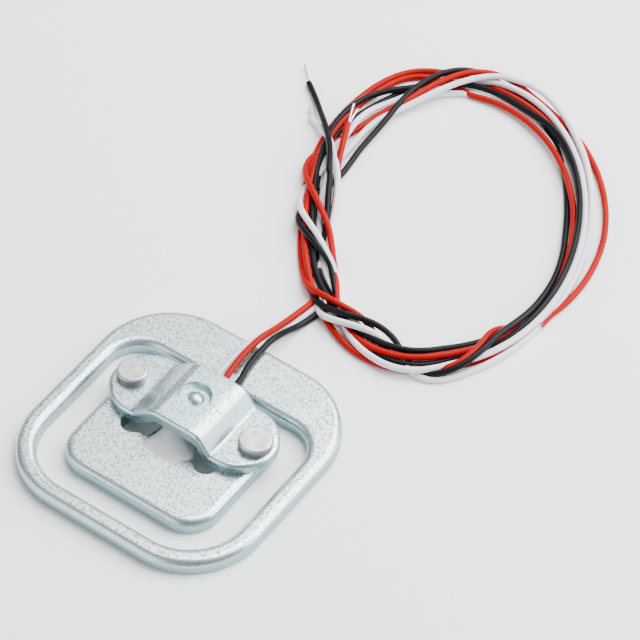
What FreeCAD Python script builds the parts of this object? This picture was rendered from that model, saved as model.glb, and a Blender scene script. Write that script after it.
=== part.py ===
"""Half-bridge weighing load cell: a stamped strain plate, a riveted bridge and three wires.

Millimetres, +Z up. The origin is the middle of the plate's underside, the wires leave towards +Y.
"""
import FreeCAD, Part
import math
import os

import Sketcher

# Driving dimensions, one row each: alias, value, what it is
SIZES = [
    ("plate_side", 34.0, "outer side of the square plate"),
    ("plate_corner", 10.1, "outer corner radius of the plate"),
    ("plate_thickness", 2.1, "thickness of the plate"),
    ("ring_width", 2.6, "width of the ring at the front and the sides"),
    ("ring_rear_width", 7.6, "width of the ring behind the slot"),
    ("opening_rear_corner", 4.4, "corner radius of the slot's outer wall at the rear"),
    ("slot_side", 3.5, "width of the slot beside the tongue"),
    ("slot_front", 3.2, "width of the slot before the tongue"),
    ("wing_rear_gap", 2.8, "gap between the wings' rear ends and the ring"),
    ("wing_width", 3.8, "width of the wings"),
    ("wing_end_flat", 0.2, "straight length between the corners of a wing's rear end"),
    ("beam_width", 4.6, "width of the strain beam"),
    ("beam_root_flare", 0.75, "how far the beam widens on each side at its front root"),
    ("beam_root_length", 2.8, "length over which the beam widens"),
    ("relief_rounding", 0.3333, "radius of the beam slots' round front ends, as a share of their width"),
    ("relief_y", -1.9, "place of the round slot ends along Y"),
    ("relief_shoulder", 0.9, "front edge of the beam slots, before the round ends' centre"),
    ("relief_blend", 0.9, "radius that blends the round ends into the slots' front edges"),
    ("edge_roll", 0.95, "radius of the rolled upper edges of the punched plate"),
    ("edge_break", 0.2, "chamfer of the broken lower edges of the punched plate"),
    ("bridge_y", 3.0, "middle of the bridge and the rivets along Y"),
    ("bridge_width", 9.8, "width of the bridge along Y"),
    ("bridge_sheet", 1.5, "sheet thickness of the bridge"),
    ("bridge_rise", 2.5, "height of the tunnel under the bridge"),
    ("flank_angle", 43.0, "slope of the bridge's flanks, in degrees"),
    ("ear_flat", 3.45, "length of an ear from its crease to the rivet's middle"),
    ("ear_end", 2.15, "length of an ear beyond the rivet's middle"),
    ("ear_end_flat", 0.8, "straight length between the corners of an ear's end"),
    ("bend_inner", 0.8, "inner bend radius of the bridge"),
    ("bridge_roll", 0.5, "radius of the rolled upper edge round the bridge"),
    ("dimple_radius", 2.05, "radius of the round dimple"),
    ("dimple_depth", 0.6, "depth of the dimple"),
    ("dimple_wall", 0.35, "run of the dimple's sloping wall"),
    ("bump_radius", 1.15, "radius of the bump inside the dimple"),
    ("bump_drop", 0.05, "drop from the bridge's top to the top of that bump"),
    ("rivet_edge", 1.65, "distance of the rivets' middle from the tongue's side"),
    ("rivet_shank", 1.9, "shank diameter of the rivets"),
    ("rivet_head_left", 4.0, "head diameter of the left rivet"),
    ("rivet_head_right", 4.3, "head diameter of the right rivet"),
    ("rivet_head_height", 1.15, "height of the rivet heads"),
    ("rivet_head_round", 0.35, "rounding of the rivet heads' upper edge"),
    ("rivet_sink", 0.3, "depth of the countersunk rivet foot in the plate"),
    ("film_length", 5.2, "length of the gauge's carrier film along the beam"),
    ("film_margin", 0.35, "width of the beam beside the carrier film"),
    ("film_thickness", 0.1, "thickness of the carrier film"),
    ("film_front", 0.2, "front edge of the carrier film along Y"),
    ("grid_lines", 6, "number of lines in each foil grid"),
    ("grid_pitch", 0.5, "distance from line to line in a grid"),
    ("grid_line", 0.26, "width of a grid line"),
    ("grid_length", 1.3, "length of the grid lines"),
    ("grid_foil", 0.05, "thickness of the foil"),
    ("grid_gap", 0.3, "gap between the grids, and from the film's front edge to the first"),
    ("pad_length", 0.9, "length of a terminal pad"),
    ("pad_width", 0.8, "width of a terminal pad"),
    ("solder_radius", 0.5, "radius of a solder joint"),
    ("wire_diameter", 0.84, "outer diameter of a wire"),
    ("wire_spacing", 1.15, "distance between the wires under the bridge"),
    ("wire_lift", 0.03, "clearance of a wire above what it lies on"),
    ("strand_diameter", 0.42, "diameter of the bare strands"),
    ("bare_inner", 1.4, "bare length of a wire from its pad's middle"),
    ("bare_tip", 3.2, "bare length at a wire's free end"),
    ("seal_side", 0.2, "width of the beam beside the sealant"),
    ("seal_gap", 0.15, "gap between the sealant and the bridge above it"),
    ("seal_flank_gap", 0.45, "gap between the sealant's top and the bridge's flanks"),
    ("seal_setback", 0.3, "distance of the sealant's front behind the bridge's front edge"),
    ("seal_cover", 1.5, "length of insulation that the sealant covers"),
    ("seal_round", 0.5, "rounding of the sealant's upper edges"),
    ("coil_x", 5.6, "middle of the wire coil along X"),
    ("coil_y", 49.4, "middle of the wire coil along Y"),
    ("coil_long", 24.3, "half the long axis of the coil's middle line"),
    ("coil_short", 17.1, "half the short axis of the coil's middle line"),
    ("coil_turned", 116.4, "angle of the coil's long axis from X, in degrees"),
    ("coil_band", 5.2, "width of the bundle of wires in the coil"),
    ("coil_height", 3.4, "height of the bundle of wires in the coil"),
    ("coil_bevel", 0.8, "bevel of the bundle's edges"),
]

# Routes of the uncoiled stretches, chosen by hand: X, Y and the height of the middle line above the floor.
# A lead's points before the plate's rear edge have no height: they lie on the plate.
LEAD_ROUTES = {
    "white": [(-1.35, 9.7), (-1.4, 13.3), (-1.05, 17.6),
              (-0.65, 21.4, 1.45), (-0.3, 25.2, 0.62), (0.5, 28.6, 0.75)],
    "red": [(-0.15, 9.6), (-0.25, 13.2), (-0.05, 17.7),
            (0.35, 21.6, 1.45), (0.75, 25.3, 0.62), (1.6, 28.5, 0.75)],
    "black": [(1.1, 9.5), (0.85, 13.1), (0.95, 17.8),
              (1.4, 21.8, 1.45), (1.85, 25.4, 0.62), (2.8, 28.3, 0.75)],
}
TAIL_ROUTES = {
    "white": [(-11.0, 46.3, 1.7), (-13.4, 48.5, 1.6), (-15.4, 50.5, 1.0),
              (-17.3, 52.1, 0.46), (-19.1, 53.8, 0.46)],
    "red": [(-9.2, 44.0, 1.6), (-10.1, 46.6, 3.2), (-11.3, 49.8, 3.95), (-13.0, 53.9, 3.95)],
    "black": [(-12.4, 49.6, 2.2), (-15.6, 53.0, 2.0), (-18.3, 55.3, 1.2),
              (-20.6, 57.0, 0.46), (-22.8, 58.6, 0.46)],
}
WIRES = ("white", "red", "black")


class Length:
    """A size that knows its value and the expression that gives it from the sheet."""

    def __init__(self, value, text):
        self.value = float(value)
        self.text = text

    @staticmethod
    def of(other):
        if isinstance(other, Length):
            return other
        return Length(other, repr(float(other)))

    def __add__(self, other):
        other = Length.of(other)
        return Length(self.value + other.value, f"({self.text} + {other.text})")

    def __sub__(self, other):
        other = Length.of(other)
        return Length(self.value - other.value, f"({self.text} - {other.text})")

    def __mul__(self, other):
        other = Length.of(other)
        return Length(self.value * other.value, f"({self.text} * {other.text})")

    def __truediv__(self, other):
        other = Length.of(other)
        return Length(self.value / other.value, f"({self.text} / {other.text})")

    def __neg__(self):
        return Length(-self.value, f"(-1 * {self.text})")

    def tangent(self):
        return Length(math.tan(math.radians(self.value)), f"tan({self.text})")

    def root(self):
        return Length(math.sqrt(self.value), f"sqrt({self.text})")


ZERO = Length(0.0, "0")

doc = FreeCAD.newDocument("LoadCell")
sheet = doc.addObject("Spreadsheet::Sheet", "Sizes")
size = {}
for row, (alias, value, note) in enumerate(SIZES, start=1):
    sheet.set(f"A{row}", note)
    sheet.set(f"B{row}", str(value))
    sheet.setAlias(f"B{row}", alias)
    size[alias] = Length(value, f"Sizes.{alias}")
doc.recompute()

parts = []


def bind(feature, **lengths):
    """Tie properties of a feature to the sheet."""
    for name, length in lengths.items():
        feature.setExpression(name, Length.of(length).text)


def put(feature, x=ZERO, y=ZERO, z=ZERO):
    """Tie a feature's place to the sheet."""
    for axis, length in zip("xyz", (x, y, z)):
        feature.setExpression(f"Placement.Base.{axis}", Length.of(length).text)


def keep(feature, node):
    """Name a finished sub-part."""
    feature.Label = node
    parts.append(feature)
    return feature


# Sketches


def new_sketch(body, name, role):
    plane = next(f for f in body.Origin.OriginFeatures if f.Role == role)
    sketch = body.newObject("Sketcher::SketchObject", name)
    sketch.AttachmentSupport = [(plane, "")]
    sketch.MapMode = "FlatFace"
    return sketch


def tie_point(sketch, geo, pos, axis, length):
    """Hold one coordinate of a point at a length from the sketch's origin."""
    kind = "DistanceX" if axis == 0 else "DistanceY"
    if length.value == 0.0:
        sketch.addConstraint(Sketcher.Constraint("PointOnObject", geo, pos, -2 if axis == 0 else -1))
        return
    if length.value > 0:
        tie = Sketcher.Constraint(kind, -1, 1, geo, pos, length.value)
        text = length.text
    else:
        tie = Sketcher.Constraint(kind, geo, pos, -1, 1, -length.value)
        text = (-length).text
    index = sketch.addConstraint(tie)
    sketch.setExpression(f"Constraints[{index}]", text)


def arc_through(start, end, radius):
    """The short arc from start to end. A positive radius has its centre on the left of the way."""
    chord = end - start
    half = chord.Length / 2
    reach = math.sqrt(max(radius * radius - half * half, 0.0))
    left = FreeCAD.Vector(-chord.y, chord.x, 0).normalize()
    centre = (start + end) * 0.5 + left * math.copysign(reach, radius)
    circle = Part.Circle(centre, FreeCAD.Vector(0, 0, 1), abs(radius))
    first = math.atan2(start.y - centre.y, start.x - centre.x)
    last = math.atan2(end.y - centre.y, end.x - centre.x)
    if radius > 0:
        return Part.ArcOfCircle(circle, first, last)
    return Part.ArcOfCircle(circle, last, first)


def closed_outline(sketch, steps):
    """A closed outline. Each step is (x, y) for a straight side to that point,
    or (x, y, radius, turn) for an arc to it, with turn 1 to the left and -1 to the right."""
    corners = [FreeCAD.Vector(Length.of(s[0]).value, Length.of(s[1]).value, 0) for s in steps]
    ends = []
    for i, step in enumerate(steps):
        start, end = corners[i - 1], corners[i]
        if len(step) == 2:
            geo = sketch.addGeometry(Part.LineSegment(start, end))
            ends.append((geo, 1, 2))
            continue
        radius, turn = step[2], step[3]
        geo = sketch.addGeometry(arc_through(start, end, radius.value * turn))
        ends.append((geo, 1, 2) if turn > 0 else (geo, 2, 1))
        index = sketch.addConstraint(Sketcher.Constraint("Radius", geo, radius.value))
        sketch.setExpression(f"Constraints[{index}]", radius.text)
    for i, (geo, first, last) in enumerate(ends):
        before = ends[i - 1]
        sketch.addConstraint(Sketcher.Constraint("Coincident", before[0], before[2], geo, first))
    for step, (geo, first, last) in zip(steps, ends):
        tie_point(sketch, geo, last, 0, Length.of(step[0]))
        tie_point(sketch, geo, last, 1, Length.of(step[1]))


def rounded_rectangle(sketch, half_width, low, high, low_radius, high_radius):
    """A rectangle across the Y axis, with one corner radius below and one above."""
    closed_outline(sketch, [
        (half_width - low_radius, low),
        (half_width, low + low_radius, low_radius, 1),
        (half_width, high - high_radius),
        (half_width - high_radius, high, high_radius, 1),
        (-half_width + high_radius, high),
        (-half_width, high - high_radius, high_radius, 1),
        (-half_width, low + low_radius),
        (-half_width + low_radius, low, low_radius, 1),
    ])


def circle_at(sketch, x, y, radius):
    centre = FreeCAD.Vector(x.value, y.value, 0)
    geo = sketch.addGeometry(Part.Circle(centre, FreeCAD.Vector(0, 0, 1), radius.value))
    index = sketch.addConstraint(Sketcher.Constraint("Radius", geo, radius.value))
    sketch.setExpression(f"Constraints[{index}]", radius.text)
    tie_point(sketch, geo, 3, 0, x)
    tie_point(sketch, geo, 3, 1, y)


# Solid features


def pad(body, sketch, name, length, symmetric=False):
    feature = body.newObject("PartDesign::Pad", name)
    feature.Profile = sketch
    feature.SideType = "Symmetric" if symmetric else "One side"
    bind(feature, Length=length)
    doc.recompute()
    return feature


def pocket(body, sketch, name, length, up=True):
    """Cut a sketch out of the solid, along the sketch's normal or against it."""
    before = body.Shape.Volume
    feature = body.newObject("PartDesign::Pocket", name)
    feature.Profile = sketch
    feature.Reversed = up
    bind(feature, Length=length)
    doc.recompute()
    if body.Shape.Volume > before - 1e-6:
        raise RuntimeError(f"{name} cuts nothing")
    return feature


def mirrored(body, originals, name):
    feature = body.newObject("PartDesign::Mirrored", name)
    feature.Originals = originals
    feature.MirrorPlane = (next(f for f in body.Origin.OriginFeatures if f.Role == "YZ_Plane"), [""])
    body.Tip = feature
    doc.recompute()
    return feature


def dress(body, kind, name, chosen, **lengths):
    """Fillet or chamfer every edge of the body that a test picks."""
    base = body.Tip
    names = [f"Edge{i}" for i, edge in enumerate(base.Shape.Edges, start=1) if chosen(edge)]
    if not names:
        raise RuntimeError(f"{name} finds no edge")
    feature = body.newObject(f"PartDesign::{kind}", name)
    feature.Base = (base, names)
    bind(feature, **lengths)
    doc.recompute()
    return feature


def lies_at(edge, height):
    """True for an edge that lies flat at a height."""
    bounds = edge.BoundBox
    return abs(bounds.ZMin - height.value) < 1e-6 and abs(bounds.ZMax - height.value) < 1e-6


def upright_at(x, y=None):
    """A test for upright edges at a distance from the middle plane, on both sides of it."""
    def chosen(edge):
        bounds = edge.BoundBox
        upright = bounds.XLength < 1e-6 and bounds.YLength < 1e-6
        placed = y is None or abs(bounds.YMin - y.value) < 1e-4
        return upright and placed and abs(abs(bounds.XMin) - x.value) < 1e-4
    return chosen


def bend_at(*places):
    """A test for edges along Y at given distances from the middle plane and heights."""
    def chosen(edge):
        bounds = edge.BoundBox
        along = bounds.XLength < 1e-6 and bounds.ZLength < 1e-6
        return along and any(
            abs(abs(bounds.XMin) - x.value) < 1e-4 and abs(bounds.ZMin - z.value) < 1e-4 for x, z in places)
    return chosen


def round_hole(edge):
    return isinstance(edge.Curve, Part.Circle) and abs(edge.Length - math.tau * edge.Curve.Radius) < 1e-6


# Base plate: stamped from one sheet

plate_half = size["plate_side"] / 2
plate_top = size["plate_thickness"]
opening_half = plate_half - size["ring_width"]
opening_corner = size["plate_corner"] - size["ring_width"]
opening_rear = plate_half - size["ring_rear_width"]
tongue_half = opening_half - size["slot_side"]
tongue_front = -opening_half + size["slot_front"]
tongue_corner = opening_corner - size["slot_front"]
wing_rear = opening_rear - size["wing_rear_gap"]
wing_inner = tongue_half - size["wing_width"]
wing_corner = (size["wing_width"] - size["wing_end_flat"]) / 2
beam_half = size["beam_width"] / 2
relief_radius = (wing_inner - beam_half) * size["relief_rounding"]
relief_x = wing_inner - relief_radius
beam_front = size["relief_y"] - size["relief_shoulder"]
bridge_y = size["bridge_y"]
rivet_x = tongue_half - size["rivet_edge"]
shank_radius = size["rivet_shank"] / 2
crease = rivet_x - size["ear_flat"]
flat_half = crease - size["bridge_rise"] / size["flank_angle"].tangent()
mitre = size["bridge_sheet"] * (size["flank_angle"] / 2).tangent()


def base_plate():
    body = doc.addObject("PartDesign::Body", "BasePlate")

    blank = new_sketch(body, "PlateBlank", "XY_Plane")
    rounded_rectangle(blank, plate_half, -plate_half, plate_half, size["plate_corner"], size["plate_corner"])
    pad(body, blank, "PlatePad", plate_top)

    # The slot runs all round the tongue, which is left standing
    slot = new_sketch(body, "SlotOutline", "XY_Plane")
    rear_corner = size["opening_rear_corner"]
    rounded_rectangle(slot, opening_half, -opening_half, opening_rear, opening_corner, rear_corner)
    rounded_rectangle(slot, tongue_half, tongue_front, wing_rear, tongue_corner, wing_corner)
    pocket(body, slot, "SlotPocket", plate_top)
    dress(body, "Fillet", "RolledEdges", lambda e: lies_at(e, plate_top), Radius=size["edge_roll"])
    dress(body, "Chamfer", "BrokenEdges", lambda e: lies_at(e, ZERO), Size=size["edge_break"])

    # The beam joins the tongue to the ring's rear
    beam = new_sketch(body, "BeamOutline", "XY_Plane")
    beam_overlap = size["wing_rear_gap"]
    closed_outline(beam, [
        (beam_half, beam_front),
        (beam_half, opening_rear + beam_overlap),
        (-beam_half, opening_rear + beam_overlap),
        (-beam_half, beam_front),
    ])
    pad(body, beam, "BeamPad", plate_top)

    # A slot on each side of the beam, with a flared root and a round front end
    side_slot = new_sketch(body, "BeamSlot", "XY_Plane")
    shoulder = size["relief_shoulder"]
    chord_half = (relief_radius * relief_radius - shoulder * shoulder).root()
    slot_rear = opening_rear - size["wing_rear_gap"] / 2
    flare, root = size["beam_root_flare"], size["beam_root_length"]
    root_radius = (root * root + flare * flare) / (flare * 2)
    closed_outline(side_slot, [
        (beam_half, slot_rear),
        (beam_half, beam_front + root),
        (beam_half + flare, beam_front, root_radius, 1),
        (relief_x - chord_half, beam_front),
        (wing_inner, size["relief_y"], relief_radius, 1),
        (wing_inner, wing_rear - wing_corner),
        (wing_inner + wing_corner, wing_rear, wing_corner, -1),
        (wing_inner + wing_corner, slot_rear),
    ])
    cut = pocket(body, side_slot, "BeamSlotPocket", plate_top)
    mirrored(body, [cut], "BeamSlots")

    dress(body, "Fillet", "ReliefBlends",
          upright_at(relief_x - chord_half, beam_front), Radius=size["relief_blend"])

    holes = new_sketch(body, "RivetHoles", "XY_Plane")
    circle_at(holes, rivet_x, bridge_y, shank_radius)
    circle_at(holes, -rivet_x, bridge_y, shank_radius)
    pocket(body, holes, "RivetHolePocket", plate_top)

    dress(body, "Chamfer", "RivetSinks",
          lambda e: lies_at(e, ZERO) and round_hole(e), Size=size["rivet_sink"])
    return keep(body, "base_plate")


# Bridge: one pressed strip, standing on the two wings


def bridge():
    body = doc.addObject("PartDesign::Body", "Bridge")
    sheet_gauge = size["bridge_sheet"]
    rise = size["bridge_rise"]
    half_length = rivet_x + size["ear_end"]
    hat_top = rise + sheet_gauge

    # Half of the bent section, seen along Y
    section = new_sketch(body, "BridgeSection", "XZ_Plane")
    closed_outline(section, [
        (ZERO, rise),
        (flat_half - mitre, rise),
        (crease - mitre, ZERO),
        (half_length, ZERO),
        (half_length, sheet_gauge),
        (crease, sheet_gauge),
        (flat_half, hat_top),
        (ZERO, hat_top),
    ])
    half = pad(body, section, "BridgePad", size["bridge_width"], symmetric=True)
    mirrored(body, [half], "BridgeHalves")

    ear_corner = (size["bridge_width"] - size["ear_end_flat"]) / 2
    dress(body, "Fillet", "EarEnds", upright_at(half_length), Radius=ear_corner)
    bend_outer = size["bend_inner"] + sheet_gauge
    dress(body, "Fillet", "OuterBends",
          bend_at((flat_half, hat_top), (crease - mitre, ZERO)), Radius=bend_outer)
    dress(body, "Fillet", "InnerBends",
          bend_at((flat_half - mitre, rise), (crease, sheet_gauge)), Radius=size["bend_inner"])

    holes = new_sketch(body, "EarHoles", "XY_Plane")
    circle_at(holes, rivet_x, ZERO, shank_radius)
    circle_at(holes, -rivet_x, ZERO, shank_radius)
    pocket(body, holes, "EarHolePocket", sheet_gauge)

    # The dimple is turned about the bridge's upright axis
    profile = new_sketch(body, "DimpleProfile", "XZ_Plane")
    floor = hat_top - size["dimple_depth"]
    rim = size["dimple_radius"]
    bump = size["bump_radius"]
    bump_height = size["dimple_depth"] - size["bump_drop"]
    bump_top = floor + bump_height
    bump_curve = (bump * bump + bump_height * bump_height) / (bump_height * 2)
    closed_outline(profile, [
        (ZERO, bump_top),
        (bump, floor, bump_curve, -1),
        (rim - size["dimple_wall"], floor),
        (rim, hat_top),
        (ZERO, hat_top),
    ])
    before = body.Shape.Volume
    groove = body.newObject("PartDesign::Groove", "Dimple")
    groove.Profile = profile
    groove.ReferenceAxis = (profile, ["V_Axis"])
    groove.Angle = 360
    doc.recompute()
    if body.Shape.Volume > before - 1e-6:
        raise RuntimeError("the dimple cuts nothing")

    def upper_rim(edge):
        """Upper edges of the strip's outline, not those of the holes, the dimple or the bends."""
        bounds = edge.BoundBox
        side = bounds.YLength < 1e-6 and abs(abs(bounds.YMin) - size["bridge_width"].value / 2) < 1e-6
        around = bounds.YLength > 1e-6 and bounds.XLength > 1e-6 and bounds.ZLength < 1e-6
        ear = around and not round_hole(edge) and abs(bounds.Center.x) > crease.value
        slope = size["flank_angle"].tangent().value
        from_crease = max(crease.value - abs(bounds.Center.x), 0.0)
        outer = min(sheet_gauge.value + from_crease * slope, hat_top.value)
        return (side or ear) and abs(bounds.Center.z - outer) < sheet_gauge.value / 2

    dress(body, "Fillet", "RolledRim", upper_rim, Radius=size["bridge_roll"])
    put(body, y=bridge_y, z=plate_top)
    return keep(body, "bridge")


# Rivets: countersunk foot, shank through wing and ear, flat head


def rivet(node, side, head):
    body = doc.addObject("PartDesign::Body", node.title().replace("_", ""))
    seat = plate_top + size["bridge_sheet"]
    top = seat + size["rivet_head_height"]
    edge = size["rivet_head_round"]
    profile = new_sketch(body, f"Profile_{node}", "XZ_Plane")
    closed_outline(profile, [
        (ZERO, ZERO),
        (shank_radius + size["rivet_sink"], ZERO),
        (shank_radius, size["rivet_sink"]),
        (shank_radius, seat),
        (head / 2, seat),
        (head / 2, top - edge),
        (head / 2 - edge, top, edge, 1),
        (ZERO, top),
    ])
    turned = body.newObject("PartDesign::Revolution", f"Turned_{node}")
    turned.Profile = profile
    turned.ReferenceAxis = (profile, ["V_Axis"])
    turned.Angle = 360
    put(body, x=rivet_x * side, y=bridge_y)
    doc.recompute()
    return keep(body, node)


# Strain gauge on the beam: film, two foil grids, terminal pads, solder

film_top = plate_top + size["film_thickness"]
pad_top = film_top + size["grid_foil"]
film_rear = size["film_front"] + size["film_length"]
pad_y = film_rear - size["pad_length"]
wire_radius = size["wire_diameter"] / 2
wire_z = plate_top + wire_radius + size["wire_lift"]
bare_end_y = pad_y + size["bare_inner"]


def wire_x(index):
    """Place of a wire across the beam: white on the left, red in the middle, black on the right."""
    return size["wire_spacing"] * (index - 1)


def box(name, length, width, height, x, y, z):
    """A box whose x is its middle and whose y and z are its low corner."""
    feature = doc.addObject("Part::Box", name)
    bind(feature, Length=length, Width=width, Height=height)
    put(feature, x - length / 2, y, z)
    return feature


def gauge_film():
    width = size["beam_width"] - size["film_margin"] * 2
    feature = box("GaugeFilm", width, size["film_length"], size["film_thickness"],
                  ZERO, size["film_front"], plate_top)
    return keep(feature, "gauge_film")


def gauge_grid(node, front):
    """A foil line that runs to and fro along the beam."""
    body = doc.addObject("PartDesign::Body", node.title().replace("_", ""))
    lines = int(size["grid_lines"].value)
    pitch = size["grid_pitch"]
    half_line = size["grid_line"] / 2
    low, high = half_line, size["grid_length"] - half_line
    left = -pitch * (lines - 1) / 2
    middle = []
    for i in range(lines):
        ways = (low, high) if i % 2 == 0 else (high, low)
        middle += [(left + pitch * i, y) for y in ways]
    # Directions of the runs, with the open ends carried straight on
    runs = [(0, 1)]
    for i in range(lines):
        runs.append((0, 1) if i % 2 == 0 else (0, -1))
        runs.append((1, 0))
    runs[-1] = runs[-2]
    rims = {1: [], -1: []}
    for (x, y), (ax, ay), (bx, by) in zip(middle, runs, runs[1:]):
        # Normals of both runs, added where the line turns a corner
        straight = (ax, ay) == (bx, by)
        nx, ny = (-ay, ax) if straight else (-ay - by, ax + bx)
        for side in rims:
            rims[side].append((x + half_line * (nx * side), y + half_line * (ny * side)))
    sketch = new_sketch(body, f"Line_{node}", "XY_Plane")
    closed_outline(sketch, rims[-1] + rims[1][::-1])
    pad(body, sketch, f"Foil_{node}", size["grid_foil"])
    put(body, ZERO, front, film_top)
    return keep(body, node)


def terminal_pad(index):
    feature = box(f"TerminalPad{index}", size["pad_width"], size["pad_length"], size["grid_foil"],
                  wire_x(index), pad_y - size["pad_length"] / 2, film_top)
    return keep(feature, f"terminal_pad_{WIRES[index]}")


def inner_end(index):
    """The stripped end of a wire, lying over its pad."""
    feature = doc.addObject("Part::Cylinder", f"InnerEnd{index}")
    bind(feature, Radius=size["strand_diameter"] / 2, Height=size["bare_inner"])
    feature.Placement = FreeCAD.Placement(FreeCAD.Vector(), FreeCAD.Rotation(FreeCAD.Vector(1, 0, 0), -90))
    put(feature, wire_x(index), pad_y, wire_z)
    return keep(feature, f"inner_end_{WIRES[index]}")


def solder_joint(index, strands):
    """A dome of solder on the pad, round the strands."""
    dome = doc.addObject("Part::Sphere", f"SolderDome{index}")
    bind(dome, Radius=size["solder_radius"])
    dome.Angle1 = 0
    put(dome, wire_x(index), pad_y, pad_top)
    joint = doc.addObject("Part::Cut", f"SolderJoint{index}")
    joint.Base = dome
    joint.Tool = strands
    return keep(joint, f"solder_joint_{WIRES[index]}")


# Wires: straight runs joined by tangent arcs, and one solid for the coil

BEND_SHARE = 0.45


def route_wire(points):
    """Straight runs with arcs that take up nearly half of the shorter run at each point."""
    edges = []
    start = points[0]
    for before, here, after in zip(points, points[1:], points[2:]):
        back, ahead = before - here, after - here
        turn = math.pi - back.getAngle(ahead)
        trim = BEND_SHARE * min(back.Length, ahead.Length)
        first = here + back.normalize() * trim
        last = here + ahead.normalize() * trim
        bisector = (back + ahead).normalize()
        radius = trim / math.tan(turn / 2)
        middle = here + bisector * (radius / math.cos(turn / 2) - radius)
        edges.append(Part.LineSegment(start, first).toShape())
        edges.append(Part.Arc(first, middle, last).toShape())
        start = last
    edges.append(Part.LineSegment(start, points[-1]).toShape())
    return Part.Wire(edges)


def tube(name, points, diameter):
    path = route_wire(points)
    heading = (points[1] - points[0]).normalize()
    section = Part.Wire(Part.makeCircle(diameter / 2, points[0], heading))
    solid = path.makePipeShell([section], True, False)
    expected = math.pi * diameter * diameter / 4 * path.Length
    if abs(solid.Volume - expected) > 0.01 * expected:
        raise RuntimeError(f"{name}: volume {solid.Volume:.3f} for {expected:.3f}")
    print(f"{name}: {path.Length:.1f} mm long")
    feature = doc.addObject("Part::Feature", name)
    feature.Shape = solid
    return feature


def oval(name, long_half, short_half):
    feature = doc.addObject("Part::Ellipse", name)
    bind(feature, MajorRadius=long_half, MinorRadius=short_half)
    solid = doc.addObject("Part::Extrusion", f"{name}Block")
    solid.Base = feature
    solid.DirMode = "Custom"
    solid.Dir = FreeCAD.Vector(0, 0, 1)
    solid.Solid = True
    bind(solid, LengthFwd=size["coil_height"])
    return solid


def wire_coil():
    """The outer shape of the loose oval coil that the three wires make together."""
    half_band = size["coil_band"] / 2
    outer = oval("CoilOuter", size["coil_long"] + half_band, size["coil_short"] + half_band)
    inner = oval("CoilInner", size["coil_long"] - half_band, size["coil_short"] - half_band)
    ring = doc.addObject("Part::Cut", "CoilRing")
    ring.Base = outer
    ring.Tool = inner
    doc.recompute()
    bevelled = doc.addObject("Part::Chamfer", "WireCoil")
    bevelled.Base = ring
    flat = [i for i, e in enumerate(ring.Shape.Edges, start=1) if e.BoundBox.ZLength < 1e-6]
    bevelled.Edges = [(i, size["coil_bevel"].value, size["coil_bevel"].value) for i in flat]
    bevelled.Placement = FreeCAD.Placement(
        FreeCAD.Vector(), FreeCAD.Rotation(FreeCAD.Vector(0, 0, 1), size["coil_turned"].value))
    put(bevelled, size["coil_x"], size["coil_y"])
    doc.recompute()
    return keep(bevelled, "wire_coil")


def trimmed(node, whole, coil):
    """A wire's stretch, cut where it goes into the coil."""
    feature = doc.addObject("Part::Cut", f"{whole.Name}Trimmed")
    feature.Base = whole
    feature.Tool = coil
    return keep(feature, node)


def lead(index, coil):
    """From the end of the bare strands under the bridge, over the plate's rear and down to the coil."""
    colour = WIRES[index]
    start = FreeCAD.Vector(wire_x(index).value, bare_end_y.value, wire_z.value)
    points = [start, start + FreeCAD.Vector(0, size["seal_cover"].value, 0)]
    for x, y, *height in LEAD_ROUTES[colour]:
        points.append(FreeCAD.Vector(x, y, height[0] if height else wire_z.value))
    whole = tube(f"Lead_{colour}", points, size["wire_diameter"].value)
    return trimmed(f"wire_{colour}_lead", whole, coil)


def tail(index, coil):
    """From the coil to the end of the insulation, with the bare strands beyond it."""
    colour = WIRES[index]
    points = [FreeCAD.Vector(*p) for p in TAIL_ROUTES[colour]]
    whole = tube(f"Tail_{colour}", points, size["wire_diameter"].value)
    tip = doc.addObject("Part::Cylinder", f"Tip_{colour}")
    bind(tip, Radius=size["strand_diameter"] / 2, Height=size["bare_tip"])
    heading = points[-1] - points[-2]
    tip.Placement = FreeCAD.Placement(points[-1], FreeCAD.Rotation(FreeCAD.Vector(0, 0, 1), heading))
    keep(tip, f"wire_{colour}_tip")
    return trimmed(f"wire_{colour}_tail", whole, coil)


# Sealant: poured over the gauge, the joints and the wire ends


def sealant(covered):
    """A bead as wide as the beam at its foot, and narrower than the tunnel's roof at its top."""
    body = doc.addObject("PartDesign::Body", "SealantBead")
    front = bridge_y - size["bridge_width"] / 2 + size["seal_setback"]
    rear = bare_end_y + size["seal_cover"]
    foot = beam_half - size["seal_side"]
    roof = flat_half - mitre - size["seal_flank_gap"]
    height = size["bridge_rise"] - size["seal_gap"]
    section = new_sketch(body, "SealantSection", "XZ_Plane")
    closed_outline(section, [
        (foot, ZERO),
        (roof, height),
        (ZERO - roof, height),
        (ZERO - foot, ZERO),
    ])
    pad(body, section, "SealantPad", rear - front)
    dress(body, "Fillet", "SealantEdges", lambda e: lies_at(e, height), Radius=size["seal_round"])
    put(body, y=rear, z=plate_top)
    inside = doc.addObject("Part::MultiFuse", "SealedParts")
    inside.Shapes = covered
    poured = doc.addObject("Part::Cut", "Sealant")
    poured.Base = body
    poured.Tool = inside
    return keep(poured, "gauge_sealant")


# Assembly

base_plate()
bridge()
rivet("rivet_left", -1, size["rivet_head_left"])
rivet("rivet_right", 1, size["rivet_head_right"])

coil_solid = wire_coil()
film = gauge_film()
front_grid_y = size["film_front"] + size["grid_gap"]
rear_grid_y = front_grid_y + size["grid_length"] + size["grid_gap"]
sealed = [
    film,
    gauge_grid("gauge_grid_front", front_grid_y),
    gauge_grid("gauge_grid_rear", rear_grid_y),
]
for number in range(len(WIRES)):
    bare = inner_end(number)
    sealed += [terminal_pad(number), bare, solder_joint(number, bare), lead(number, coil_solid)]
    tail(number, coil_solid)
sealant(sealed)

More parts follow.
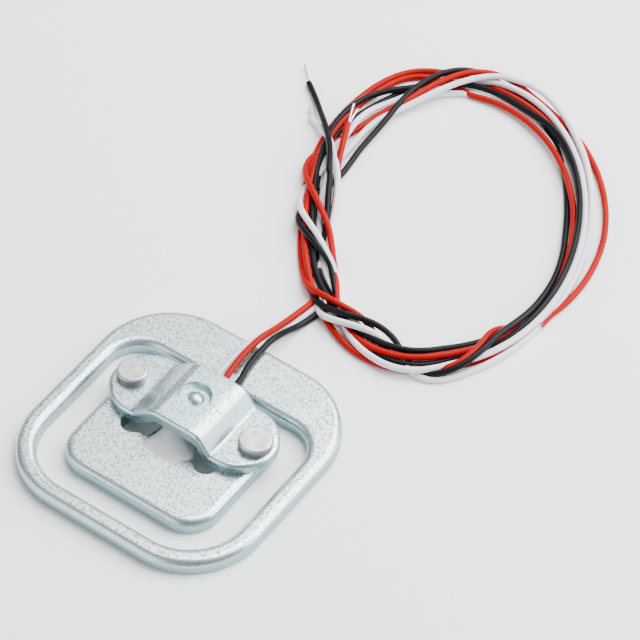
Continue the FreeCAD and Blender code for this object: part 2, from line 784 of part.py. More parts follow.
doc.recompute()
for feature in doc.Objects:
    if "Invalid" in feature.State or "Error" in feature.State:
        raise RuntimeError(f"{feature.Label}: {feature.State}")
for feature in parts:
    if feature.Shape.isNull() or not feature.Shape.isValid() or feature.Shape.Volume < 1e-6:
        raise RuntimeError(f"{feature.Label} has no sound shape")

os.makedirs("parts", exist_ok=True)
for feature in parts:
    feature.Shape.exportStep(f"parts/{feature.Label}.step")
    print(f"{feature.Label}: {len(feature.Shape.Solids)} solid, {feature.Shape.Volume:.2f} mm3")
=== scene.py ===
import math

import bmesh
import bpy
from mathutils import Matrix, Vector


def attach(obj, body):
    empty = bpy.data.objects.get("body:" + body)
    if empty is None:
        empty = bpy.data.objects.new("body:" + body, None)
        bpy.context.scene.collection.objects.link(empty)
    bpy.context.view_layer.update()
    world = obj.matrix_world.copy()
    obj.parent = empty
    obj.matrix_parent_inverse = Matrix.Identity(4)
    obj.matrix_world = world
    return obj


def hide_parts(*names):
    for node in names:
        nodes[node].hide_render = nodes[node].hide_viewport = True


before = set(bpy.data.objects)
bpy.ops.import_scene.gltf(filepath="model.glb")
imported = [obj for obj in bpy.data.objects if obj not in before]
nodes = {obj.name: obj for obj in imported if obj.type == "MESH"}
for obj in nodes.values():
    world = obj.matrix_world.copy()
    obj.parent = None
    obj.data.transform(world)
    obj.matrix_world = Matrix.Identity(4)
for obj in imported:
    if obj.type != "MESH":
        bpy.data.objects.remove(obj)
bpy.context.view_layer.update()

# Base plate
# One piece of spring steel, punched to a ring, a slotted tongue and a strain beam, then tumbled
# and zinc plated. The plating is a pale blue-grey, with fine dark specks on the flat faces.

MM = 0.001


def start_material(name):
    """A new material: its node tree and the shader that the output shows."""
    material = bpy.data.materials.new(name)
    material.use_nodes = True
    return material, material.node_tree, material.node_tree.nodes["Principled BSDF"]


def add(tree, kind, settings=None, **values):
    """A node with its settings and the values of its named inputs."""
    node = tree.nodes.new(kind)
    for setting, value in (settings or {}).items():
        setattr(node, setting, value)
    for socket, value in values.items():
        node.inputs[socket.replace("_", " ")].default_value = value
    return node


def grain(tree, size_mm, detail=2.0, rough=0.5):
    """Noise with features of about that size, in the piece's own coordinates."""
    place = add(tree, "ShaderNodeTexCoord")
    noise = add(tree, "ShaderNodeTexNoise", Scale=1.0 / (size_mm * MM), Detail=detail, Roughness=rough)
    tree.links.new(place.outputs["Object"], noise.inputs["Vector"])
    return noise.outputs["Fac"]


def spread(tree, factor, low, high, start=0.3, end=0.7):
    """Stretch a noise's middle range to run from low to high."""
    node = add(tree, "ShaderNodeMapRange", From_Min=start, From_Max=end, To_Min=low, To_Max=high)
    tree.links.new(factor, node.inputs["Value"])
    return node.outputs["Result"]


def shade_between(tree, factor, dark, light, start=0.3, end=0.7):
    """A colour that runs from dark to light with a noise."""
    ramp = add(tree, "ShaderNodeValToRGB")
    ramp.color_ramp.elements[0].position = start
    ramp.color_ramp.elements[0].color = (*dark, 1.0)
    ramp.color_ramp.elements[1].position = end
    ramp.color_ramp.elements[1].color = (*light, 1.0)
    tree.links.new(factor, ramp.inputs["Fac"])
    return ramp.outputs["Color"]


# Sockets of a Mix node that carry colours: the two inputs and the result
MIX_FIRST, MIX_SECOND, MIX_RESULT = 6, 7, 2


def speckled(tree, base, specks, shown):
    """Lay specks over a colour, as far as the surface shows them."""
    mix = add(tree, "ShaderNodeMix", {"data_type": "RGBA", "blend_type": "OVERLAY"})
    tree.links.new(shown, mix.inputs["Factor"])
    tree.links.new(base, mix.inputs[MIX_FIRST])
    tree.links.new(specks, mix.inputs[MIX_SECOND])
    return mix.outputs[MIX_RESULT]


def roughen(tree, shader, height, depth_mm, strength):
    """A bump of a real depth on the shader."""
    bump = add(tree, "ShaderNodeBump", Strength=strength, Distance=depth_mm * MM)
    tree.links.new(height, bump.inputs["Height"])
    tree.links.new(bump.outputs["Normal"], shader.inputs["Normal"])


def finish_node(node, material):
    """Give a carried-over solid its finish."""
    nodes[node].data.materials.clear()
    nodes[node].data.materials.append(material)


def facing_up(tree):
    """How far the surface looks upward, from 0 on a wall to 1 on a flat top."""
    surface = add(tree, "ShaderNodeNewGeometry")
    slope = add(tree, "ShaderNodeSeparateXYZ")
    tree.links.new(surface.outputs["Normal"], slope.inputs["Vector"])
    return slope.outputs["Z"]


def painted_shade_on_sides(tree, top, shaded_wall, start, end):
    """Painted shade: the top's colour, which turns to a darker shaded colour as the surface steepens."""
    mix = add(tree, "ShaderNodeMix", {"data_type": "RGBA"})
    mix.inputs[MIX_FIRST].default_value = (*shaded_wall, 1.0)
    tree.links.new(spread(tree, facing_up(tree), 0.0, 1.0, start, end), mix.inputs["Factor"])
    tree.links.new(top, mix.inputs[MIX_SECOND])
    return mix.outputs[MIX_RESULT]


# Zinc plate: the painted shade on walls and steep faces, the two ends of the specks, and the size of the
# soft mottle
PAINTED_WALL_SHADE = (0.29, 0.43, 0.46)
SPECK_DARK, SPECK_LIGHT = (0.15, 0.06, 0.0), (0.75, 0.75, 0.75)
MOTTLE_MM = 2.4


def plated_steel(name, dark, light, speck_mm, metal, gloss, smooth_below):
    """Zinc plate: sharp dark specks on the flat faces; walls and steep faces are smoother, with painted
    shade in a darker teal.
    """
    material, tree, shader = start_material(name)
    speck = grain(tree, speck_mm, detail=3.0, rough=0.65)
    mottle = shade_between(tree, grain(tree, MOTTLE_MM), dark, light, start=0.25, end=0.75)
    # painted shade: the colour turns to a darker teal as the surface steepens towards a wall
    with_painted_wall_shade = painted_shade_on_sides(tree, mottle, PAINTED_WALL_SHADE, start=0.1, end=0.6)
    specks = shade_between(tree, speck, SPECK_DARK, SPECK_LIGHT, start=0.40, end=0.53)
    shown = spread(tree, facing_up(tree), low=0.1, high=0.9, start=smooth_below, end=0.98)
    tree.links.new(speckled(tree, with_painted_wall_shade, specks, shown), shader.inputs["Base Color"])
    tree.links.new(spread(tree, speck, gloss + 0.12, gloss - 0.08), shader.inputs["Roughness"])
    roughen(tree, shader, speck, depth_mm=0.03, strength=0.12)
    shader.inputs["Metallic"].default_value = metal
    return material


# the plate's walls and steep faces carry painted shade in a darker teal
plate_zinc = plated_steel("zinc_plated_spring_steel", (0.46, 0.555, 0.59), (0.54, 0.63, 0.665),
                          speck_mm=0.34, metal=0.9, gloss=0.3, smooth_below=0.85)
finish_node("base_plate", plate_zinc)

# Strain gauge
# An amber carrier film glued on the beam, with two etched foil grids and three pads for the soldered wire
# ends. Pale silicone is pressed in over the whole. It is smeared out on the tongue in front, has run over
# the beam's right edge, and swells out round the wires at the rear.


def plain_finish(name, dark, light, size_mm, metal, gloss, depth_mm):
    """A finish with one grain, which shifts its colour, its gloss and its surface a little."""
    material, tree, shader = start_material(name)
    noise = grain(tree, size_mm, detail=3.0)
    tree.links.new(shade_between(tree, noise, dark, light), shader.inputs["Base Color"])
    tree.links.new(spread(tree, noise, gloss - 0.06, gloss + 0.08), shader.inputs["Roughness"])
    roughen(tree, shader, noise, depth_mm, strength=0.3)
    shader.inputs["Metallic"].default_value = metal
    return material


def put_in_scene(name, data):
    """A new object that shows this data."""
    piece = bpy.data.objects.new(name, data)
    bpy.context.scene.collection.objects.link(piece)
    return piece


amber_film = plain_finish("amber_carrier_film", (0.52, 0.24, 0.04), (0.66, 0.34, 0.07),
                          size_mm=0.6, metal=0.0, gloss=0.25, depth_mm=0.01)
etched_foil = plain_finish("etched_gauge_foil", (0.62, 0.46, 0.33), (0.75, 0.60, 0.46),
                           size_mm=0.2, metal=0.95, gloss=0.3, depth_mm=0.01)
bright_solder = plain_finish("bright_solder", (0.66, 0.66, 0.67), (0.8, 0.8, 0.8),
                             size_mm=0.25, metal=0.95, gloss=0.22, depth_mm=0.03)
tinned_copper = plain_finish("tinned_copper_strands", (0.52, 0.52, 0.53), (0.72, 0.72, 0.72),
                             size_mm=0.2, metal=0.9, gloss=0.3, depth_mm=0.02)
silicone = plain_finish("pale_silicone_sealant", (0.58, 0.62, 0.63), (0.66, 0.70, 0.71),
                        size_mm=0.9, metal=0.0, gloss=0.42, depth_mm=0.05)

# Sealant, in millimetres: half its width, its foot and height, and its places along the beam
SEAL_HALF, SEAL_FOOT, SEAL_HEIGHT = 2.1, 2.08, 2.35
SEAL_FRONT, SEAL_FULL, SEAL_THINS, SEAL_END = -4.6, 0.0, 6.8, 11.6
# How much wider it is where it is smeared out, and how far its thin end lies to the left
SEAL_WIDER, SEAL_ASIDE = 0.3, 0.55
# Spill over the beam's right edge: its place along the beam, half its length, and its reach
SPILL_PLACE, SPILL_HALF, SPILL_REACH = -1.9, 2.1, 1.6


def eased(share):
    """A smooth step from 0 to 1."""
    share = min(max(share, 0.0), 1.0)
    return share * share * (3.0 - 2.0 * share)


sealant_mesh = bpy.data.meshes.new("silicone_sealant")
sealant_shape = bmesh.new()
bmesh.ops.create_grid(sealant_shape, x_segments=20, y_segments=60, size=1.0)
for vert in sealant_shape.verts:
    across = vert.co.x
    place = SEAL_FRONT + (SEAL_END - SEAL_FRONT) * (vert.co.y + 1.0) / 2
    smeared = eased((place - SEAL_FRONT) / (SEAL_FULL - SEAL_FRONT))
    squeezed = eased((SEAL_END - place) / (SEAL_END - SEAL_THINS))
    rise = min(smeared, squeezed)
    spilt = eased(1.0 - abs(place - SPILL_PLACE) / SPILL_HALF) * max(across, 0.0) ** 2
    half_width = SEAL_HALF * (1.0 + SEAL_WIDER * (1.0 - smeared))
    vert.co.x = across * half_width - SEAL_ASIDE * (1.0 - squeezed) + SPILL_REACH * spilt
    vert.co.y = place
    vert.co.z = SEAL_FOOT + SEAL_HEIGHT * rise * (1.0 - across ** 2)
    vert.co *= MM
rim = [edge for edge in sealant_shape.edges if edge.is_boundary]
for face in sealant_shape.faces:
    face.smooth = True
bmesh.ops.edgeloop_fill(sealant_shape, edges=rim)
bmesh.ops.recalc_face_normals(sealant_shape, faces=sealant_shape.faces)
sealant_shape.to_mesh(sealant_mesh)
sealant_shape.free()
sealant_mesh.materials.append(silicone)
sealant = put_in_scene("silicone_sealant", sealant_mesh)
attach(sealant, "root")
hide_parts("gauge_sealant")

COLOURS = ("white", "red", "black")
finish_node("gauge_film", amber_film)
for grid in ("gauge_grid_front", "gauge_grid_rear"):
    finish_node(grid, etched_foil)
for colour in COLOURS:
    finish_node(f"terminal_pad_{colour}", etched_foil)
    finish_node(f"solder_joint_{colour}", bright_solder)
    finish_node(f"inner_end_{colour}", tinned_copper)

# Bridge
# A strip of thicker sheet steel, pressed to a hat with two flat ears and a dimple that takes the load.
# The press pulls the hat's top to the right, so the left flank is long and the right one steep.
# It has the plate's zinc finish, drawn a little coarser by the press.

# the bridge's flanks and walls get the same painted shade as the plate's walls
pressed_sheet = plated_steel("zinc_plated_pressed_sheet", (0.46, 0.595, 0.63), (0.54, 0.67, 0.705),
                             speck_mm=0.38, metal=0.9, gloss=0.28, smooth_below=0.75)

# The solid's loose triangles are joined within this distance, and edges stay sharp from this angle on
JOIN_WITHIN = 0.001 * MM
SHARP_FROM = math.radians(35.0)

# Places across the bridge in millimetres: in an even hat, then in the pulled one
HAT_PULL = [
    (-11.5, -11.95), (-10.3, -10.3), (-8.2, -8.2), (-6.8, -7.05), (-2.8, -2.4), (-2.05, -2.05),
    (2.05, 2.05), (2.8, 3.9), (6.8, 6.5), (8.2, 8.2), (10.3, 10.3), (11.5, 11.9),
]

# Dimple, in millimetres: its middle, a reach past its rim, and the heights that its surface lies between
DIMPLE_MIDDLE, DIMPLE_REACH = Vector((0.0, 3.0)), 2.3
DIMPLE_LOW, DIMPLE_TOP = 5.2, 6.1
# How far the punch sets it to the rear, and how much wider and deeper it leaves it
DIMPLE_REARWARD, DIMPLE_WIDER, DIMPLE_DEEPER = 0.2, 1.06, 1.35


def pulled(place):
    """Where a place across the even hat comes to lie in the pulled one."""
    for (start, new_start), (end, new_end) in zip(HAT_PULL, HAT_PULL[1:]):
        if start <= place <= end:
            return new_start + (new_end - new_start) * (place - start) / (end - start)
    return place


bridge_mesh = bpy.data.meshes.new("pressed_bridge")
bridge_shape = bmesh.new()
bridge_shape.from_mesh(nodes["bridge"].data)
bmesh.ops.remove_doubles(bridge_shape, verts=bridge_shape.verts, dist=JOIN_WITHIN)
for vert in bridge_shape.verts:
    x, y, z = vert.co / MM
    out = Vector((x, y)) - DIMPLE_MIDDLE
    if out.length < DIMPLE_REACH and z > DIMPLE_LOW:
        x, y = DIMPLE_MIDDLE + out * DIMPLE_WIDER
        y += DIMPLE_REARWARD
        z = DIMPLE_TOP - (DIMPLE_TOP - z) * DIMPLE_DEEPER
    else:
        x = pulled(x)
    vert.co = Vector((x, y, z)) * MM
for face in bridge_shape.faces:
    face.smooth = True
for edge in bridge_shape.edges:
    edge.smooth = edge.calc_face_angle(0.0) < SHARP_FROM
bridge_shape.to_mesh(bridge_mesh)
bridge_shape.free()
if "custom_normal" in bridge_mesh.attributes:
    bridge_mesh.attributes.remove(bridge_mesh.attributes["custom_normal"])
bridge_mesh.materials.append(pressed_sheet)
bridge = put_in_scene("pressed_bridge", bridge_mesh)
flat_faces_first = bridge.modifiers.new("flat_faces_first", "WEIGHTED_NORMAL")
flat_faces_first.weight = 100
flat_faces_first.keep_sharp = True
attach(bridge, "root")
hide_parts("bridge")

# Rivets
# Two plain steel rivets through the ears and the wings, upset under the plate. Their flat heads are
# smoother than the plated sheet and softly mottled, and their sides carry painted shade.

RIVET_DARK, RIVET_LIGHT = (0.39, 0.375, 0.40), (0.66, 0.645, 0.67)
# painted shade: the darker colour that the rivets' steep sides turn to
RIVET_SIDE_PAINTED_SHADE = (0.24, 0.25, 0.265)

rivet_steel, rivet_tree, rivet_shader = start_material("bare_rivet_steel")
rivet_cloud = grain(rivet_tree, size_mm=1.1, detail=4.0)
rivet_top = shade_between(rivet_tree, rivet_cloud, RIVET_DARK, RIVET_LIGHT, start=0.35, end=0.65)
# painted shade on the rivets' sides, mixed in by how far the surface faces up
rivet_colour_and_painted_shade = painted_shade_on_sides(rivet_tree, rivet_top, RIVET_SIDE_PAINTED_SHADE, start=0.2, end=0.9)
rivet_gloss = spread(rivet_tree, grain(rivet_tree, size_mm=0.25), low=0.3, high=0.44)
rivet_pits = grain(rivet_tree, size_mm=0.2, detail=4.0)
rivet_tree.links.new(rivet_colour_and_painted_shade, rivet_shader.inputs["Base Color"])
rivet_tree.links.new(rivet_gloss, rivet_shader.inputs["Roughness"])
roughen(rivet_tree, rivet_shader, rivet_pits, depth_mm=0.02, strength=0.25)
rivet_shader.inputs["Metallic"].default_value = 0.8
for side in ("left", "right"):
    finish_node(f"rivet_{side}", rivet_steel)

# Wires
# Three thin stranded wires in glossy plastic insulation, soldered to the gauge. They run over the ring's
# rear, make two loose turns side by side, wrap round those turns once more, and end bare.

WIRE_DIAMETER = 0.84 * MM
ON_FLOOR = 0.45

# Middle line of the loose oval coil, in millimetres and degrees
COIL_MIDDLE = Vector((5.6, 49.4, 0.0))
COIL_LONG, COIL_SHORT = 24.3, 17.1
COIL_TURNED = math.radians(116.4)
COIL_START = 278.0
COIL_STEP = 6.0

# Points from the sealant to the coil, in millimetres
LEADS = {
    "white": [
        (-1.15, 5.9, 2.55), (-1.15, 7.4, 2.55), (-1.35, 9.7, 2.55), (-1.5, 12.4, 2.55), (-1.5, 14.2, 2.55),
        (-1.3, 16.0, 2.55), (-1.05, 17.2, 2.5), (-0.75, 18.3, 1.95), (-0.4, 19.5, 1.3), (-0.05, 21.0, 0.62),
        (0.15, 22.3, 0.45), (0.27, 23.8, 0.45), (0.6, 25.3, 0.45), (0.9, 26.8, 0.45), (0.9, 28.8, 0.45),
    ],
    "red": [
        (0.0, 5.9, 2.55), (0.0, 7.4, 2.6), (-0.1, 9.4, 2.95), (-0.4, 11.6, 3.05),
        (-0.55, 13.4, 3.05), (-0.58, 15.0, 3.05), (-0.5, 16.6, 3.05), (-0.45, 17.9, 2.85),
        (-0.5, 19.2, 2.25), (-0.55, 20.6, 1.6), (-0.5, 22.0, 1.2), (-0.3, 23.2, 1.12),
        (-0.1, 24.3, 1.12), (0.08, 25.5, 1.1), (0.2, 27.0, 0.8), (-0.3, 28.5, 0.45),
    ],
    "black": [
        (1.15, 5.9, 2.55), (1.15, 7.4, 2.55), (1.4, 9.3, 2.55), (1.3, 10.8, 2.55), (0.9, 12.3, 2.55),
        (0.68, 13.6, 2.55), (0.6, 15.0, 2.55), (0.55, 16.4, 2.55), (0.55, 17.8, 2.5), (0.62, 19.4, 2.15),
        (0.75, 21.4, 1.35), (1.0, 23.1, 0.68), (1.33, 24.8, 0.45), (1.62, 26.5, 0.45), (2.0, 28.2, 0.45),
        (2.4, 29.6, 0.45),
    ],
}

# Places on the way round, for the two turns and then for the wrap round them:
# degrees travelled, then millimetres outward from the oval and up from the floor
TURNS = {
    "white": [
        (158, 0.9, 0.45), (180, 0.5, 0.45), (215, 0.5, 0.45), (241, -1.5, 0.45), (275, -1.9, 0.45),
        (309, -1.8, 0.45), (339, -1.4, 0.45), (364, -1.0, 0.45), (395, -0.5, 0.45), (425, -0.9, 0.45),
        (446, -1.15, 0.45), (466, -0.35, 0.45), (476, -0.5, 0.45), (485, -0.9, 0.45), (500, -1.0, 0.5),
        (515, -0.95, 0.6), (540, -0.9, 0.6),
        (565, -0.5, 1.2), (587, -0.1, 1.5), (601, -1.0, 1.2), (622, -0.8, 0.9), (646, 0.3, 1.2),
        (660, 0.6, 1.25), (690, 0.5, 1.25), (724, 0.4, 1.25), (765, 0.6, 1.25), (790, 0.8, 1.27),
        (806, 1.15, 1.27), (816, 2.1, 1.27), (822, 2.5, 1.27), (829, 2.55, 1.2), (834, 2.3, 1.15),
        (840, 1.95, 1.0), (845, 1.5, 0.9), (850, 1.0, 0.75),
        (858, -0.2, 0.45), (868, -1.7, 0.45), (876, -2.1, 1.2), (888, -1.0, 2.05), (897, 0.6, 2.0),
        (902, 1.6, 1.4), (910, 2.0, 0.5), (918, 0.9, 0.45), (929, -1.2, 0.6), (948, -1.8, 1.0),
        (963, -2.7, 1.2), (980, -2.5, 1.8), (997, -0.9, 2.1), (1009, 1.0, 2.0), (1017, 1.9, 1.6),
        (1025, 2.5, 1.3), (1038, 2.2, 1.0), (1050, 1.8, 0.9), (1084, 1.2, 0.9), (1105, 1.1, 0.7),
        (1125, 0.9, 0.45), (1138, 1.2, 0.45), (1147, 1.5, 0.45), (1156, 1.9, 0.45), (1163, 2.35, 0.45),
        (1169, 2.85, 0.45), (1174, 2.95, 0.45), (1179, 2.5, 0.45), (1184, 1.0, 0.45), (1189, -0.7, 0.45),
        (1195, -1.0, 0.95), (1202, -0.5, 2.0), (1212, 1.1, 2.0), (1217, 2.1, 1.4), (1222, 2.3, 0.8),
        (1229, 1.3, 0.45), (1238, 0.2, 0.45), (1248, -1.8, 0.5), (1258, -2.6, 0.9),
    ],
    "red": [
        (156, 1.9, 0.45), (180, 1.4, 0.45), (214, 2.5, 0.45), (231, 2.9, 0.45), (254, 3.3, 0.45),
        (270, 1.6, 0.45), (285, 0.2, 0.5), (293, -0.4, 0.8), (311, -0.4, 0.9), (324, 0.2, 0.6),
        (340, 0.6, 0.45), (364, 0.9, 0.45), (405, 1.0, 0.45), (425, 0.75, 0.45), (446, 0.9, 0.45),
        (456, 1.4, 0.45), (464, 1.85, 0.45), (471, 2.25, 0.45), (478, 2.4, 0.45), (485, 2.4, 0.45),
        (500, 1.9, 0.7), (515, 1.35, 1.2),
        (540, 0.9, 1.2), (574, 1.6, 1.2), (591, 2.0, 0.6), (614, 2.4, 0.45),
        (622, 1.2, 0.45), (630, -0.8, 0.45), (638, -2.1, 0.5), (650, -2.4, 0.6), (669, -2.4, 0.8),
        (699, -1.7, 1.1), (724, -1.0, 1.25), (750, -0.6, 0.8), (780, -0.7, 0.9), (806, -0.6, 1.17),
        (826, 0.5, 1.17), (845, 0.95, 1.0), (858, 0.1, 0.6), (870, -1.6, 0.9), (879, -2.2, 1.2),
        (894, -2.2, 1.7), (905, -0.4, 2.1), (914, 1.6, 1.6), (919, 2.6, 0.8), (924, 2.7, 0.5),
        (928, 1.8, 0.45), (935, 0.6, 0.45), (943, -0.6, 0.6), (957, -1.7, 1.2), (963, -2.2, 1.5),
        (981, -1.3, 2.0), (996, 0.4, 2.1), (1004, 1.5, 1.6), (1012, 1.8, 1.2), (1025, 1.5, 0.5),
        (1035, 1.5, 0.45), (1042, 1.8, 0.45), (1052, 2.3, 0.45), (1065, 2.8, 0.45), (1077, 3.1, 0.45),
        (1089, 3.1, 0.45), (1102, 2.6, 0.45), (1114, 1.8, 0.45), (1125, 0.7, 0.45), (1135, -0.9, 0.45),
        (1142, -2.2, 1.2), (1150, -0.8, 2.1), (1162, 1.4, 1.9), (1168, 1.7, 1.2), (1178, 1.5, 0.45),
        (1190, 0.5, 0.45), (1200, -1.1, 0.45), (1210, -1.7, 1.4), (1222, 0.3, 2.1), (1229, 1.7, 1.7),
        (1237, 2.0, 0.6), (1246, 0.6, 0.45), (1256, -1.8, 0.45), (1266, -2.6, 0.5), (1276, -2.4, 0.7),
    ],
    "black": [
        (160, 0.0, 0.45), (180, -0.3, 0.45), (214, 1.3, 0.45), (241, 0.4, 0.45), (275, 0.3, 0.45),
        (309, 0.3, 0.45), (340, 0.0, 0.45), (364, 0.0, 0.45), (405, -1.0, 0.5), (430, -1.8, 0.5),
        (446, -1.9, 0.75), (456, -1.15, 1.15), (466, -0.5, 1.3), (474, -0.32, 1.3), (483, -0.08, 1.3),
        (490, 0.15, 1.3), (515, 0.4, 1.2), (540, 0.0, 1.25),
        (574, 1.8, 1.3), (584, 2.3, 1.25), (592, 2.1, 1.25), (601, 1.1, 1.3), (611, -0.2, 1.25),
        (637, -1.0, 1.25), (653, -1.4, 1.25), (671, -1.3, 1.3), (684, -0.6, 1.7), (697, -0.4, 1.9),
        (724, -0.3, 1.9), (765, -0.2, 1.3), (785, -0.3, 0.7), (804, -0.4, 0.45), (812, 0.3, 0.5),
        (819, 0.95, 0.6), (828, 1.25, 0.7), (836, 1.1, 0.6), (845, 0.3, 0.45), (858, -0.4, 0.45),
        (868, -1.1, 0.8), (880, -1.7, 1.5), (889, 0.2, 2.1), (896, 1.6, 1.5),
        (901, 2.1, 0.6), (909, 0.6, 0.45), (919, -2.0, 0.45), (935, -2.7, 0.6), (950, -2.8, 1.2),
        (971, -1.1, 2.05), (987, 0.5, 2.1), (998, 1.4, 1.5), (1012, 0.9, 0.45), (1035, -0.4, 0.45),
        (1060, -1.5, 0.45), (1085, -1.9, 0.5), (1099, -1.5, 0.8), (1112, -1.1, 1.2), (1125, -0.9, 1.6),
        (1144, -0.6, 2.1), (1156, 1.0, 2.1), (1165, 2.2, 1.6), (1171, 2.5, 1.15), (1177, 2.2, 0.5),
        (1183, 0.6, 0.45), (1189, -1.5, 0.45), (1194, -2.1, 0.95), (1199, -2.25, 1.3), (1205, -1.75, 1.9),
        (1210, -0.9, 2.05), (1218, 1.0, 2.05), (1225, 1.9, 1.2), (1231, 1.7, 0.5), (1240, 0.2, 0.45),
        (1250, -1.4, 0.45), (1260, -1.9, 1.3), (1270, -1.6, 2.2), (1282, -0.9, 2.7),
    ],
}

# Points from the coil to the end of the insulation, in millimetres
TAILS = {
    "white": [
        (-7.3, 43.3, 1.5), (-9.7, 46.7, 1.75), (-12.2, 49.4, 1.75), (-14.1, 51.1, 1.5), (-15.7, 52.0, 1.1),
        (-17.5, 53.0, 0.6), (-18.9, 53.6, 0.46),
    ],
    "red": [
        (-10.0, 47.0, 1.0), (-10.9, 48.7, 1.8), (-11.8, 51.0, 2.6), (-13.0, 53.7, 2.9),
    ],
    "black": [
        (-10.2, 45.4, 2.9), (-12.4, 48.9, 2.6), (-15.6, 52.4, 1.8), (-18.3, 54.9, 0.9), (-20.6, 57.0, 0.46),
        (-22.8, 58.6, 0.46),
    ],
}


def round_the_coil(places, travelled):
    """Outward and upward offset at an angle, on a smooth line through the places."""
    last = len(places) - 1
    passed = max(k for k in range(last) if places[k][0] <= travelled)
    before, start, end, after = (places[min(max(k, 0), last)] for k in range(passed - 1, passed + 3))
    run = end[0] - start[0]
    share = (travelled - start[0]) / run
    offsets = []
    for axis in (1, 2):
        leaving = (end[axis] - before[axis]) / (end[0] - before[0]) * run
        arriving = (after[axis] - start[axis]) / (after[0] - start[0]) * run
        gap = end[axis] - start[axis]
        curve = leaving * share
        curve += (3 * gap - 2 * leaving - arriving) * share ** 2
        curve += (leaving + arriving - 2 * gap) * share ** 3
        offsets.append(start[axis] + curve)
    return offsets


def coil_points(places):
    """The wire's turns, a few degrees apart."""
    along = Vector((math.cos(COIL_TURNED), math.sin(COIL_TURNED), 0.0))
    across = Vector((-math.sin(COIL_TURNED), math.cos(COIL_TURNED), 0.0))
    points = []
    travelled = places[0][0]
    while travelled < places[-1][0]:
        outward, height = round_the_coil(places, travelled)
        angle = math.radians(COIL_START - travelled)
        point = COIL_MIDDLE + along * COIL_LONG * math.cos(angle) + across * COIL_SHORT * math.sin(angle)
        normal = along * COIL_SHORT * math.cos(angle) + across * COIL_LONG * math.sin(angle)
        point += normal.normalized() * outward
        point.z = max(height, ON_FLOOR)
        points.append(point)
        travelled += COIL_STEP
    return points


def insulation(name, dark, light, gloss, shine):
    """Extruded plastic: nearly even colour, slight waviness and a smooth gloss."""
    material, tree, shader = start_material(name)
    drift = grain(tree, size_mm=5.0)
    tree.links.new(shade_between(tree, drift, dark, light), shader.inputs["Base Color"])
    fine = grain(tree, size_mm=0.5)
    tree.links.new(spread(tree, fine, gloss - 0.05, gloss + 0.08), shader.inputs["Roughness"])
    roughen(tree, shader, fine, depth_mm=0.01, strength=0.2)
    shader.inputs["Specular IOR Level"].default_value = shine
    return material


INSULATION = {
    "white": insulation("white_wire_insulation", (0.68, 0.67, 0.74), (0.79, 0.78, 0.84),
                        gloss=0.4, shine=0.4),
    "red": insulation("red_wire_insulation", (0.30, 0.001, 0.001), (0.36, 0.002, 0.002),
                      gloss=0.4, shine=0.08),
    "black": insulation("black_wire_insulation", (0.004, 0.004, 0.005), (0.007, 0.007, 0.008),
                        gloss=0.3, shine=0.1),
}


def lay_spline(data, points, radius):
    """One open, smooth spline with these control points, in millimetres."""
    spline = data.splines.new("NURBS")
    spline.points.add(len(points) - 1)
    for target, point in zip(spline.points, points):
        target.co = (*(Vector(point) * MM), 1.0)
        target.radius = radius
    spline.order_u = 3
    spline.use_endpoint_u = True


def round_line(name, material):
    """An empty round curve, ready for its splines, whose points carry the radius."""
    data = bpy.data.curves.new(name, "CURVE")
    data.dimensions = "3D"
    data.bevel_depth = 1.0
    data.bevel_resolution = 3
    data.resolution_u = 4
    data.use_fill_caps = True
    data.materials.append(material)
    piece = put_in_scene(name, data)
    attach(piece, "root")
    return piece


# Bare ends: the length of each strand beyond the insulation, then how far it strays sideways and up
STRAND_RADIUS = 0.09 * MM
BARE_STRANDS = {
    "white": [(1.7, 0.85, 0.05), (1.55, 0.7, 0.0), (1.3, 0.65, 0.1)],
    "red": [(3.2, 0.2, 0.1), (3.1, 0.1, 0.15), (2.5, 0.9, 0.05), (2.3, 0.75, 0.12)],
    "black": [(3.4, 0.65, 0.02), (3.3, 0.5, 0.05), (3.1, 0.58, 0.12)],
}
# How far a strand starts inside the insulation, in millimetres
STRAND_INSIDE = 0.6
# Shares of its stray at the foot, and of its length and stray in the middle
FOOT_ASIDE, MIDDLE_ALONG, MIDDLE_ASIDE = 0.2, 0.45, 0.35

for colour in COLOURS:
    lead = [Vector(point) for point in LEADS[colour]]
    tail = [Vector(point) for point in TAILS[colour]]
    route = lead + coil_points(TURNS[colour]) + tail
    wire = round_line(f"{colour}_wire", INSULATION[colour])
    lay_spline(wire.data, route, WIRE_DIAMETER / 2)
    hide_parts(f"wire_{colour}_lead", f"wire_{colour}_tail", "wire_coil")

    tip = round_line(f"{colour}_wire_bare_end", tinned_copper)
    end = route[-1]
    heading = (route[-1] - route[-2]).normalized()
    sideways = heading.cross(Vector((0.0, 0.0, 1.0)))
    for reach, astray, lift in BARE_STRANDS[colour]:
        foot = end - heading * STRAND_INSIDE + sideways * astray * FOOT_ASIDE
        middle = end + heading * reach * MIDDLE_ALONG + sideways * astray * MIDDLE_ASIDE
        last = end + heading * reach + sideways * astray + Vector((0.0, 0.0, lift))
        lay_spline(tip.data, [foot, middle, last], STRAND_RADIUS)
    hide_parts(f"wire_{colour}_tip")

# Floor, light and camera
# A sheet of pale paper lies under the part. The soft sky is brighter to the rear, with a low glow at the
# front left, and one soft panel stands at the right rear and one hangs over the rear.
# A long lens looks at the part from the photograph's angle.

floor_mesh = bpy.data.meshes.new("floor")
floor_shape = bmesh.new()
bmesh.ops.create_grid(floor_shape, x_segments=1, y_segments=1, size=2.0)
floor_shape.to_mesh(floor_mesh)
floor_shape.free()
floor = put_in_scene("floor", floor_mesh)
paper, _, paper_shader = start_material("pale_paper")
paper_shader.inputs["Base Color"].default_value = (0.97, 0.97, 0.97, 1.0)
paper_shader.inputs["Roughness"].default_value = 0.9
floor.data.materials.append(paper)

# Ways to the middle of the sky's broad light and of its low glow
SKY_REAR = (0.0, 0.72, 0.64)
SKY_LOW_FRONT = (-0.46, -0.85, 0.26)


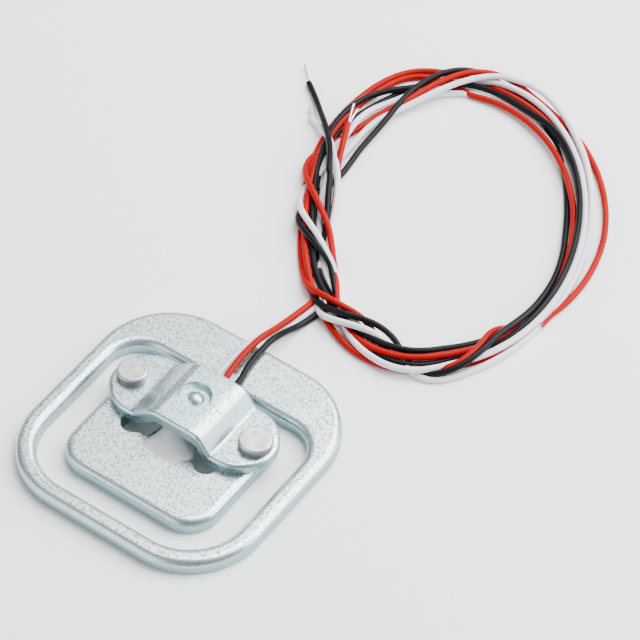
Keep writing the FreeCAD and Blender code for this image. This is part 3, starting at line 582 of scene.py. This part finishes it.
def sky_glow(tree, towards, low, high, start, end):
    """Light that runs from low to high as the way turns towards the glow's middle."""
    way = add(tree, "ShaderNodeTexCoord")
    nearness = add(tree, "ShaderNodeVectorMath", {"operation": "DOT_PRODUCT"})
    nearness.inputs[1].default_value = Vector(towards).normalized()
    tree.links.new(way.outputs["Generated"], nearness.inputs[0])
    return spread(tree, nearness.outputs["Value"], low, high, start, end)


sky = bpy.data.worlds.new("soft_sky")
bpy.context.scene.world = sky
sky.use_nodes = True
sky_tree = sky.node_tree
broad_light = sky_glow(sky_tree, SKY_REAR, low=0.22, high=1.25, start=0.25, end=0.95)
low_light = sky_glow(sky_tree, SKY_LOW_FRONT, low=0.0, high=2.6, start=0.78, end=0.93)
both_lights = add(sky_tree, "ShaderNodeMath", {"operation": "ADD"})
sky_tree.links.new(broad_light, both_lights.inputs[0])
sky_tree.links.new(low_light, both_lights.inputs[1])
sky_shade = sky_tree.nodes["Background"]
sky_shade.inputs["Color"].default_value = (1.0, 1.0, 1.0, 1.0)
sky_tree.links.new(both_lights.outputs["Value"], sky_shade.inputs["Strength"])


def soft_light(name, place, size, power):
    """A square panel of light at a place in metres, turned to the plate's middle."""
    lamp = bpy.data.lights.new(name, "AREA")
    lamp.shape = "SQUARE"
    lamp.size = size
    lamp.energy = power
    holder = put_in_scene(name, lamp)
    holder.location = place
    holder.rotation_mode = "QUATERNION"
    holder.rotation_quaternion = (-Vector(place)).to_track_quat("-Z", "Y")


soft_light("side_light", place=(0.46, 0.34, 0.28), size=0.4, power=4.5)
soft_light("top_light", place=(0.06, 0.26, 0.41), size=0.44, power=6.0)

# Angles in degrees, the origin's pixel, and its depth along the view in millimetres
IMAGE_SIDE = 640
FOCAL_PIXELS = 3500.0
VIEW_ELEVATION, VIEW_AZIMUTH, VIEW_ROLL = (math.radians(v) for v in (49.309, 34.957, 0.803))
ORIGIN_PIXEL = (179.42, 443.748)
ORIGIN_DEPTH = 423.89
SENSOR = 36.0

back = Vector((math.sin(VIEW_AZIMUTH) * math.cos(VIEW_ELEVATION),
               -math.cos(VIEW_AZIMUTH) * math.cos(VIEW_ELEVATION), math.sin(VIEW_ELEVATION)))
level = Vector((math.cos(VIEW_AZIMUTH), math.sin(VIEW_AZIMUTH), 0.0))
upright = back.cross(level)
right = level * math.cos(VIEW_ROLL) + upright * math.sin(VIEW_ROLL)
up = upright * math.cos(VIEW_ROLL) - level * math.sin(VIEW_ROLL)
off_x = (ORIGIN_PIXEL[0] - IMAGE_SIDE / 2) / FOCAL_PIXELS * ORIGIN_DEPTH
off_y = -(ORIGIN_PIXEL[1] - IMAGE_SIDE / 2) / FOCAL_PIXELS * ORIGIN_DEPTH
eye = (back * ORIGIN_DEPTH - right * off_x - up * off_y) * MM

camera_data = bpy.data.cameras.new("camera")
camera_data.sensor_width = SENSOR
camera_data.lens = FOCAL_PIXELS / IMAGE_SIDE * SENSOR
camera_data.clip_start = 0.01
camera_data.clip_end = 20.0
camera = put_in_scene("camera", camera_data)
camera.matrix_world = Matrix.Translation(eye) @ Matrix((right, up, back)).transposed().to_4x4()
bpy.context.scene.camera = camera

bpy.context.view_layer.update()
